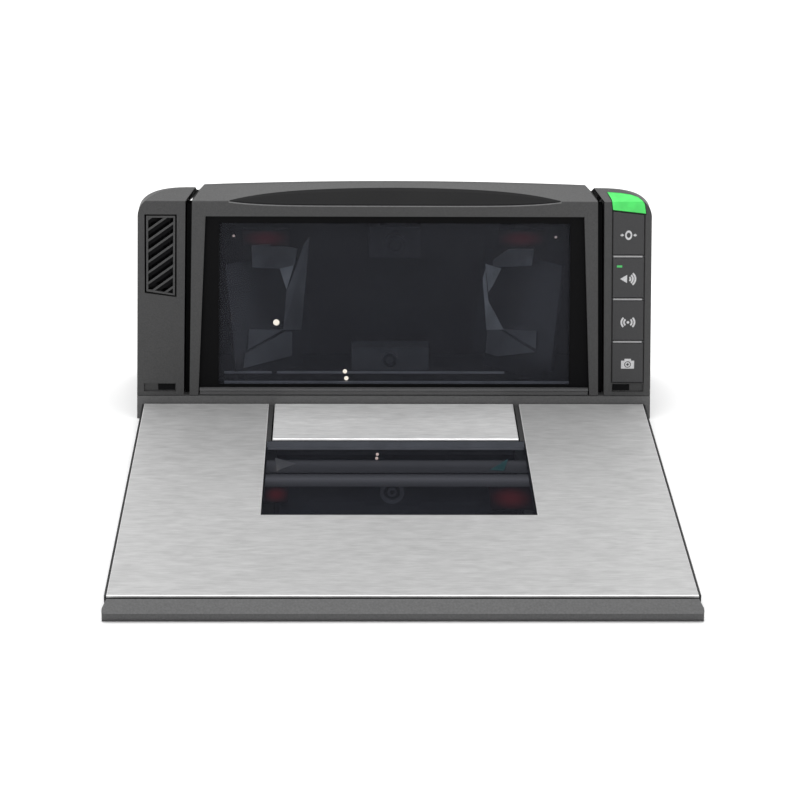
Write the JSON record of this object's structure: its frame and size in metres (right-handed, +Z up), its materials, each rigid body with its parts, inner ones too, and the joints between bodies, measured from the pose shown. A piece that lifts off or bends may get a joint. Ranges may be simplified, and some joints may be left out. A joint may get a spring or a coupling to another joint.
{
  "type": "bi-optic counter barcode scanner-scale",
  "caption": "In-counter barcode scanner with a lift-off weighing platter, a vertical glass scan tower, side keys and an indicator light.",
  "frame": {"origin": "centre of the footprint on the plane that the levelling feet stand on", "axes": "+X to the operator's right, +Y back towards the tower, +Z up"},
  "size_m": [0.292, 0.398, 0.2286],
  "materials": {
    "shell": "fine-grained moulded plastic",
    "black": "matt black plastic",
    "badge": "plain dark inset, lightly textured",
    "steel": "brushed from side to side",
    "tray": "moulded tray",
    "housing": "powder coat",
    "zinc": "zinc plated sheet",
    "cast": "die cast",
    "machined": "machined and anodised",
    "glass": "dark coated scan window",
    "inner_glass": "clear inner window",
    "mirror": "front-surface mirror",
    "rubber": "soft pad",
    "board": "green solder mask",
    "jack": "connector shell",
    "lens_green": "translucent lens, lit",
    "led_red": "red light sources on a dark board",
    "led_green": "small light pipe",
    "key": "soft-touch key",
    "bed": "bright dividers"
  },
  "bodies": {
    "housing": {"aux_jack": "jack", "badge_inset": "badge", "base_plate": "zinc", "calibration_cover": "zinc", "colour_camera": "black", "front_bumper": "shell", "host_jack": "jack", "indicator_lens": "lens_green", "key_bed": "bed", "levelling_foot_back_left": "rubber", "levelling_foot_back_right": "rubber", "levelling_foot_front_left": "rubber", "levelling_foot_front_right": "rubber", "load_cell": "machined", "load_cell_block": "cast", "lower_camera": "black", "lower_housing": "housing", "lower_led_bar_left": "led_red", "lower_led_bar_right": "led_red", "lower_mirror_left": "mirror", "lower_mirror_right": "mirror", "lower_optics_body": "black", "lower_window": "inner_glass", "main_board": "board", "pod_left": "shell", "pod_right": "shell", "port_panel": "zinc", "power_jack": "jack", "rear_cover": "shell", "sensor_window_left": "badge", "sensor_window_right": "badge", "speaker_driver": "black", "speaker_grille": "shell", "switch_board": "board", "tower_camera": "black", "tower_chassis": "black", "tower_front": "shell", "tower_glass": "glass", "tower_led_bar_left": "led_red", "tower_led_bar_right": "led_red", "tower_mirror_left": "mirror", "tower_mirror_right": "mirror", "tower_plinth": "shell", "usb_jack": "jack", "window_bezel": "black", "window_sill": "shell"},
    "weigh": {"weigh_frame": "cast", "platter_pad_back_left": "rubber", "platter_pad_back_right": "rubber", "platter_pad_front_left": "rubber", "platter_pad_front_right": "rubber"},
    "platter": {"platter_plate": "steel", "platter_frame": "tray", "platter_glass": "glass"},
    "infill": {"infill_panel": "steel"},
    "key_zero": {"key_zero": "key"},
    "key_volume": {"key_volume": "key", "status_led": "led_green"},
    "key_alert": {"key_alert": "key"},
    "key_camera": {"key_camera": "key"}
  },
  "joints": [
    {"name": "weigh_deflection", "type": "slide", "parent": "housing", "child": "weigh", "axis": [0, 0, 1], "range_m": [-0.0005, 0], "stiffness_N_per_m": 60000, "springref_m": 0.0008},
    {"name": "platter_lift", "type": "slide", "parent": "weigh", "child": "platter", "axis": [0, 0, 1], "range_m": [0, 0.06]},
    {"name": "infill_lift", "type": "slide", "parent": "housing", "child": "infill", "axis": [0, 0, 1], "range_m": [0, 0.03]},
    {"name": "key_zero_press", "type": "slide", "parent": "housing", "child": "key_zero", "axis": [0, 1, 0], "range_m": [0, 0.0008], "stiffness_N_per_m": 600, "springref_m": -0.0005},
    {"name": "key_volume_press", "type": "slide", "parent": "housing", "child": "key_volume", "axis": [0, 1, 0], "range_m": [0, 0.0008], "stiffness_N_per_m": 600, "springref_m": -0.0005},
    {"name": "key_alert_press", "type": "slide", "parent": "housing", "child": "key_alert", "axis": [0, 1, 0], "range_m": [0, 0.0008], "stiffness_N_per_m": 600, "springref_m": -0.0005},
    {"name": "key_camera_press", "type": "slide", "parent": "housing", "child": "key_camera", "axis": [0, 1, 0], "range_m": [0, 0.0008], "stiffness_N_per_m": 600, "springref_m": -0.0005}
  ]
}
